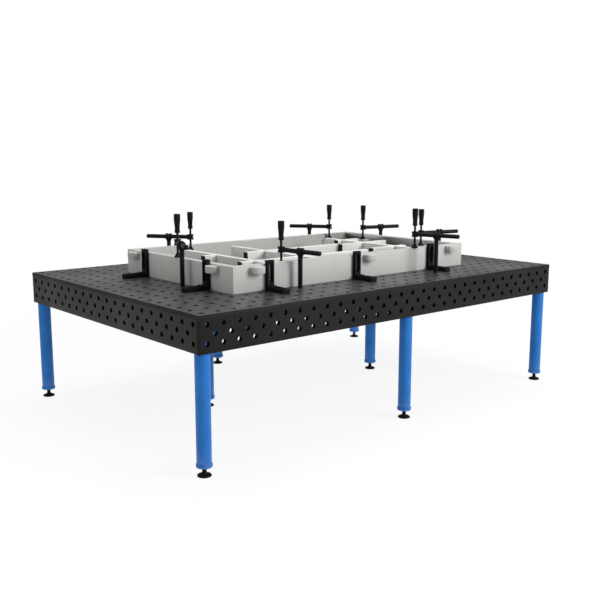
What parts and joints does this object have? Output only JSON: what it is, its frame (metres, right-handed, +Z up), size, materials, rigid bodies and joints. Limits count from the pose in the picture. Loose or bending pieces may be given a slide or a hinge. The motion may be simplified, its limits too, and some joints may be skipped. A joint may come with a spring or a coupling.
{
  "type": "welding table",
  "caption": "Five-sided perforated welding table on adjustable tube legs, with screw clamps and slotted angle stops holding a rectangular frame workpiece.",
  "frame": {"origin": "centre of the table footprint on the floor", "axes": "+X along the long side, +Y to the back, +Z up"},
  "size_m": [3, 2, 1.27],
  "materials": {
    "plate_steel": "milled, oiled",
    "side_steel": "milled, oiled",
    "rib_steel": "primer",
    "stud_zinc": "zinc plated",
    "leg_paint": "semi-gloss paint",
    "collar_paint": "semi-gloss paint",
    "stop_black": "phosphated, dark",
    "bolt_black": "phosphated",
    "work_paint": "light primer, satin",
    "lug_paint": "light primer, satin",
    "bar_paint": "light primer, satin",
    "cap_black": "matt",
    "foot_black": "powder coat",
    "screw_steel": "black oxide",
    "clamp_black": "phosphated, dark",
    "clamp_bar": "black oxide",
    "spindle_black": "black oxide with black grip",
    "pad_steel": "black oxide"
  },
  "bodies": {
    "table": {"tabletop": "plate_steel", "sides_long": "side_steel", "sides_short": "side_steel", "ribs_cross": "rib_steel", "ribs_long": "rib_steel", "leg_plates": "rib_steel", "leg_tubes": "leg_paint", "leg_studs": "stud_zinc", "leg_collars": "collar_paint", "angle_stops": "stop_black", "stop_bolts": "bolt_black", "work_frame": "work_paint", "work_bars": "bar_paint", "work_caps": "cap_black", "work_lugs": "lug_paint"},
    "foot1_disc_body": {"foot1_disc": "foot_black"},
    "foot1_screw_body": {"foot1_screw": "screw_steel"},
    "foot2_disc_body": {"foot2_disc": "foot_black"},
    "foot2_screw_body": {"foot2_screw": "screw_steel"},
    "foot3_disc_body": {"foot3_disc": "foot_black"},
    "foot3_screw_body": {"foot3_screw": "screw_steel"},
    "foot4_disc_body": {"foot4_disc": "foot_black"},
    "foot4_screw_body": {"foot4_screw": "screw_steel"},
    "foot5_disc_body": {"foot5_disc": "foot_black"},
    "foot5_screw_body": {"foot5_screw": "screw_steel"},
    "foot6_disc_body": {"foot6_disc": "foot_black"},
    "foot6_screw_body": {"foot6_screw": "screw_steel"},
    "foot7_disc_body": {"foot7_disc": "foot_black"},
    "foot7_screw_body": {"foot7_screw": "screw_steel"},
    "foot8_disc_body": {"foot8_disc": "foot_black"},
    "foot8_screw_body": {"foot8_screw": "screw_steel"},
    "clamp_a_column_body": {"clamp_a_column": "clamp_black"},
    "clamp_a_arm_body": {"clamp_a_arm": "clamp_bar"},
    "clamp_a_spindle_body": {"clamp_a_spindle": "spindle_black"},
    "clamp_a_pad_body": {"clamp_a_pad": "pad_steel"},
    "clamp_b_column_body": {"clamp_b_column": "clamp_black"},
    "clamp_b_arm_body": {"clamp_b_arm": "clamp_bar"},
    "clamp_b_spindle_body": {"clamp_b_spindle": "spindle_black"},
    "clamp_b_pad_body": {"clamp_b_pad": "pad_steel"},
    "clamp_c_column_body": {"clamp_c_column": "clamp_black"},
    "clamp_c_arm_body": {"clamp_c_arm": "clamp_bar"},
    "clamp_c_spindle_body": {"clamp_c_spindle": "spindle_black"},
    "clamp_c_pad_body": {"clamp_c_pad": "pad_steel"},
    "clamp_d_column_body": {"clamp_d_column": "clamp_black"},
    "clamp_d_arm_body": {"clamp_d_arm": "clamp_bar"},
    "clamp_d_spindle_body": {"clamp_d_spindle": "spindle_black"},
    "clamp_d_pad_body": {"clamp_d_pad": "pad_steel"},
    "clamp_e_column_body": {"clamp_e_column": "clamp_black"},
    "clamp_e_arm_body": {"clamp_e_arm": "clamp_bar"},
    "clamp_e_spindle_body": {"clamp_e_spindle": "spindle_black"},
    "clamp_e_pad_body": {"clamp_e_pad": "pad_steel"},
    "clamp_f_column_body": {"clamp_f_column": "clamp_black"},
    "clamp_f_arm_body": {"clamp_f_arm": "clamp_bar"},
    "clamp_f_spindle_body": {"clamp_f_spindle": "spindle_black"},
    "clamp_f_pad_body": {"clamp_f_pad": "pad_steel"},
    "clamp_g_column_body": {"clamp_g_column": "clamp_black"},
    "clamp_g_arm_body": {"clamp_g_arm": "clamp_bar"},
    "clamp_g_spindle_body": {"clamp_g_spindle": "spindle_black"},
    "clamp_g_pad_body": {"clamp_g_pad": "pad_steel"}
  },
  "joints": [
    {"name": "foot1_height", "type": "slide", "parent": "table", "child": "foot1_disc_body", "axis": [0, 0, 1], "range_m": [-0.05, 0.026]},
    {"name": "foot1_screw_turn", "type": "hinge", "parent": "foot1_disc_body", "child": "foot1_screw_body", "pos_m": [-1.45, -0.95, 0], "axis": [0, 0, 1], "range_deg": [-6001, 3121]},
    {"name": "foot2_height", "type": "slide", "parent": "table", "child": "foot2_disc_body", "axis": [0, 0, 1], "range_m": [-0.05, 0.026]},
    {"name": "foot2_screw_turn", "type": "hinge", "parent": "foot2_disc_body", "child": "foot2_screw_body", "pos_m": [0.05, -0.95, 0], "axis": [0, 0, 1], "range_deg": [-6001, 3121]},
    {"name": "foot3_height", "type": "slide", "parent": "table", "child": "foot3_disc_body", "axis": [0, 0, 1], "range_m": [-0.05, 0.026]},
    {"name": "foot3_screw_turn", "type": "hinge", "parent": "foot3_disc_body", "child": "foot3_screw_body", "pos_m": [1.45, -0.95, 0], "axis": [0, 0, 1], "range_deg": [-6001, 3121]},
    {"name": "foot4_height", "type": "slide", "parent": "table", "child": "foot4_disc_body", "axis": [0, 0, 1], "range_m": [-0.05, 0.026]},
    {"name": "foot4_screw_turn", "type": "hinge", "parent": "foot4_disc_body", "child": "foot4_screw_body", "pos_m": [-0.75, 0.05, 0], "axis": [0, 0, 1], "range_deg": [-6001, 3121]},
    {"name": "foot5_height", "type": "slide", "parent": "table", "child": "foot5_disc_body", "axis": [0, 0, 1], "range_m": [-0.05, 0.026]},
    {"name": "foot5_screw_turn", "type": "hinge", "parent": "foot5_disc_body", "child": "foot5_screw_body", "pos_m": [0.75, 0.05, 0], "axis": [0, 0, 1], "range_deg": [-6001, 3121]},
    {"name": "foot6_height", "type": "slide", "parent": "table", "child": "foot6_disc_body", "axis": [0, 0, 1], "range_m": [-0.05, 0.026]},
    {"name": "foot6_screw_turn", "type": "hinge", "parent": "foot6_disc_body", "child": "foot6_screw_body", "pos_m": [-1.45, 0.95, 0], "axis": [0, 0, 1], "range_deg": [-6001, 3121]},
    {"name": "foot7_height", "type": "slide", "parent": "table", "child": "foot7_disc_body", "axis": [0, 0, 1], "range_m": [-0.05, 0.026]},
    {"name": "foot7_screw_turn", "type": "hinge", "parent": "foot7_disc_body", "child": "foot7_screw_body", "pos_m": [-0.05, 0.95, 0], "axis": [0, 0, 1], "range_deg": [-6001, 3121]},
    {"name": "foot8_height", "type": "slide", "parent": "table", "child": "foot8_disc_body", "axis": [0, 0, 1], "range_m": [-0.05, 0.026]},
    {"name": "foot8_screw_turn", "type": "hinge", "parent": "foot8_disc_body", "child": "foot8_screw_body", "pos_m": [1.45, 0.95, 0], "axis": [0, 0, 1], "range_deg": [-6001, 3121]},
    {"name": "clamp_a_swivel", "type": "hinge", "parent": "table", "child": "clamp_a_column_body", "pos_m": [-1.05, -0.15, 0.85], "axis": [0, 0, 1], "range_deg": [-90, 110]},
    {"name": "clamp_a_arm_slide", "type": "slide", "parent": "clamp_a_column_body", "child": "clamp_a_arm_body", "axis": [0.3987, 0.9171, 0], "range_m": [-0.115, 0.12]},
    {"name": "clamp_a_pad_lift", "type": "slide", "parent": "clamp_a_arm_body", "child": "clamp_a_pad_body", "axis": [0, 0, 1], "range_m": [0, 0.046]},
    {"name": "clamp_a_spindle_turn", "type": "hinge", "parent": "clamp_a_pad_body", "child": "clamp_a_spindle_body", "pos_m": [-0.9862, -0.00327, 0.97], "axis": [0, 0, 1], "range_deg": [0, 4141]},
    {"name": "clamp_b_swivel", "type": "hinge", "parent": "table", "child": "clamp_b_column_body", "pos_m": [-0.65, 0.65, 0.85], "axis": [0, 0, 1], "range_deg": [-75, 1]},
    {"name": "clamp_b_arm_slide", "type": "slide", "parent": "clamp_b_column_body", "child": "clamp_b_arm_body", "axis": [0.6018, -0.7986, 0], "range_m": [-0.004, 0.12]},
    {"name": "clamp_b_pad_lift", "type": "slide", "parent": "clamp_b_arm_body", "child": "clamp_b_pad_body", "axis": [0, 0, 1], "range_m": [0, 0.046]},
    {"name": "clamp_b_spindle_turn", "type": "hinge", "parent": "clamp_b_pad_body", "child": "clamp_b_spindle_body", "pos_m": [-0.55371, 0.52222, 0.97], "axis": [0, 0, 1], "range_deg": [0, 4141]},
    {"name": "clamp_c_swivel", "type": "hinge", "parent": "table", "child": "clamp_c_column_body", "pos_m": [-0.55, -0.65, 0.85], "axis": [0, 0, 1], "range_deg": [-37, 26]},
    {"name": "clamp_c_arm_slide", "type": "slide", "parent": "clamp_c_column_body", "child": "clamp_c_arm_body", "axis": [-0.0958, 0.9954, 0], "range_m": [-0.015, 0.04]},
    {"name": "clamp_c_pad_lift", "type": "slide", "parent": "clamp_c_arm_body", "child": "clamp_c_pad_body", "axis": [0, 0, 1], "range_m": [0, 0.046]},
    {"name": "clamp_c_spindle_turn", "type": "hinge", "parent": "clamp_c_pad_body", "child": "clamp_c_spindle_body", "pos_m": [-0.56534, -0.49074, 0.97], "axis": [0, 0, 1], "range_deg": [0, 4141]},
    {"name": "clamp_d_swivel", "type": "hinge", "parent": "table", "child": "clamp_d_column_body", "pos_m": [0.65, 0.65, 0.85], "axis": [0, 0, 1], "range_deg": [-75, 1]},
    {"name": "clamp_d_arm_slide", "type": "slide", "parent": "clamp_d_column_body", "child": "clamp_d_arm_body", "axis": [0.6018, -0.7986, 0], "range_m": [-0.004, 0.12]},
    {"name": "clamp_d_pad_lift", "type": "slide", "parent": "clamp_d_arm_body", "child": "clamp_d_pad_body", "axis": [0, 0, 1], "range_m": [0, 0.046]},
    {"name": "clamp_d_spindle_turn", "type": "hinge", "parent": "clamp_d_pad_body", "child": "clamp_d_spindle_body", "pos_m": [0.74629, 0.52222, 0.97], "axis": [0, 0, 1], "range_deg": [0, 4141]},
    {"name": "clamp_e_swivel", "type": "hinge", "parent": "table", "child": "clamp_e_column_body", "pos_m": [1.05, 0.25, 0.85], "axis": [0, 0, 1], "range_deg": [-18, 50]},
    {"name": "clamp_e_arm_slide", "type": "slide", "parent": "clamp_e_column_body", "child": "clamp_e_arm_body", "axis": [-0.9613, 0.2756, 0], "range_m": [-0.012, 0.12]},
    {"name": "clamp_e_pad_lift", "type": "slide", "parent": "clamp_e_arm_body", "child": "clamp_e_pad_body", "axis": [0, 0, 1], "range_m": [0, 0.046]},
    {"name": "clamp_e_spindle_turn", "type": "hinge", "parent": "clamp_e_pad_body", "child": "clamp_e_spindle_body", "pos_m": [0.8962, 0.2941, 0.97], "axis": [0, 0, 1], "range_deg": [0, 4141]},
    {"name": "clamp_f_swivel", "type": "hinge", "parent": "table", "child": "clamp_f_column_body", "pos_m": [0.55, -0.75, 0.85], "axis": [0, 0, 1], "range_deg": [-33, 170]},
    {"name": "clamp_f_arm_slide", "type": "slide", "parent": "clamp_f_column_body", "child": "clamp_f_arm_body", "axis": [-0.2588, 0.9659, 0], "range_m": [-0.115, 0.12]},
    {"name": "clamp_f_pad_lift", "type": "slide", "parent": "clamp_f_arm_body", "child": "clamp_f_pad_body", "axis": [0, 0, 1], "range_m": [0, 0.046]},
    {"name": "clamp_f_spindle_turn", "type": "hinge", "parent": "clamp_f_pad_body", "child": "clamp_f_spindle_body", "pos_m": [0.50859, -0.59545, 0.97], "axis": [0, 0, 1], "range_deg": [0, 4141]},
    {"name": "clamp_g_swivel", "type": "hinge", "parent": "table", "child": "clamp_g_column_body", "pos_m": [1.05, -0.35, 0.85], "axis": [0, 0, 1], "range_deg": [-19, 49]},
    {"name": "clamp_g_arm_slide", "type": "slide", "parent": "clamp_g_column_body", "child": "clamp_g_arm_body", "axis": [-0.9659, 0.2588, 0], "range_m": [-0.012, 0.12]},
    {"name": "clamp_g_pad_lift", "type": "slide", "parent": "clamp_g_arm_body", "child": "clamp_g_pad_body", "axis": [0, 0, 1], "range_m": [0, 0.046]},
    {"name": "clamp_g_spindle_turn", "type": "hinge", "parent": "clamp_g_pad_body", "child": "clamp_g_spindle_body", "pos_m": [0.89545, -0.30859, 0.97], "axis": [0, 0, 1], "range_deg": [0, 4141]}
  ],
  "couplings": [
    {"joint": "foot1_screw_turn", "follows": "foot1_height", "rad_per_m": 2094.4},
    {"joint": "foot2_screw_turn", "follows": "foot2_height", "rad_per_m": 2094.4},
    {"joint": "foot3_screw_turn", "follows": "foot3_height", "rad_per_m": 2094.4},
    {"joint": "foot4_screw_turn", "follows": "foot4_height", "rad_per_m": 2094.4},
    {"joint": "foot5_screw_turn", "follows": "foot5_height", "rad_per_m": 2094.4},
    {"joint": "foot6_screw_turn", "follows": "foot6_height", "rad_per_m": 2094.4},
    {"joint": "foot7_screw_turn", "follows": "foot7_height", "rad_per_m": 2094.4},
    {"joint": "foot8_screw_turn", "follows": "foot8_height", "rad_per_m": 2094.4},
    {"joint": "clamp_a_spindle_turn", "follows": "clamp_a_pad_lift", "rad_per_m": 1570.8},
    {"joint": "clamp_b_spindle_turn", "follows": "clamp_b_pad_lift", "rad_per_m": 1570.8},
    {"joint": "clamp_c_spindle_turn", "follows": "clamp_c_pad_lift", "rad_per_m": 1570.8},
    {"joint": "clamp_d_spindle_turn", "follows": "clamp_d_pad_lift", "rad_per_m": 1570.8},
    {"joint": "clamp_e_spindle_turn", "follows": "clamp_e_pad_lift", "rad_per_m": 1570.8},
    {"joint": "clamp_f_spindle_turn", "follows": "clamp_f_pad_lift", "rad_per_m": 1570.8},
    {"joint": "clamp_g_spindle_turn", "follows": "clamp_g_pad_lift", "rad_per_m": 1570.8}
  ]
}
